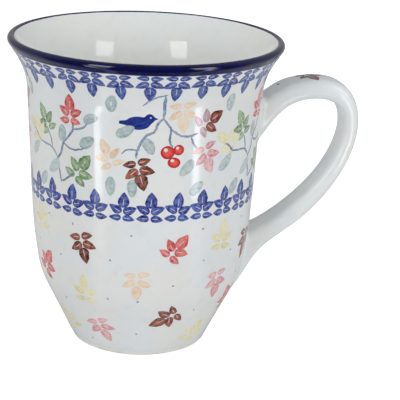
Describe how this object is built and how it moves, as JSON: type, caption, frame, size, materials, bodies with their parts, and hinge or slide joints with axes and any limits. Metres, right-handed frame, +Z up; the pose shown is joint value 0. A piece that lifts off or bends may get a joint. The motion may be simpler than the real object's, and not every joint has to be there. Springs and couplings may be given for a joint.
{
  "type": "stoneware mug",
  "caption": "Tall flared stoneware mug with a strap handle, glazed inside and out, with a cobalt rim band and a bare foot ring.",
  "frame": {"origin": "centre of the circle that the foot ring stands on, on the cup's axis", "axes": "+Z up along the cup's axis, +X from the cup towards the handle, +Y completes a right-handed frame"},
  "size_m": [0.1366, 0.1048, 0.12],
  "materials": {
    "stoneware_clay": "bare fired stoneware, matt and slightly gritty",
    "slip_clay": "fired joining slip, matt",
    "white_glaze": "glossy cool white glaze",
    "cobalt_glaze": "glossy dark cobalt glaze"
  },
  "bodies": {
    "root": {"cup_body": "stoneware_clay", "handle": "stoneware_clay", "upper_handle_slip": "slip_clay", "lower_handle_slip": "slip_clay", "wall_glaze": "white_glaze", "liner_glaze": "white_glaze", "rim_band": "cobalt_glaze", "foot_well_glaze": "white_glaze", "handle_glaze": "white_glaze"}
  },
  "joints": []
}
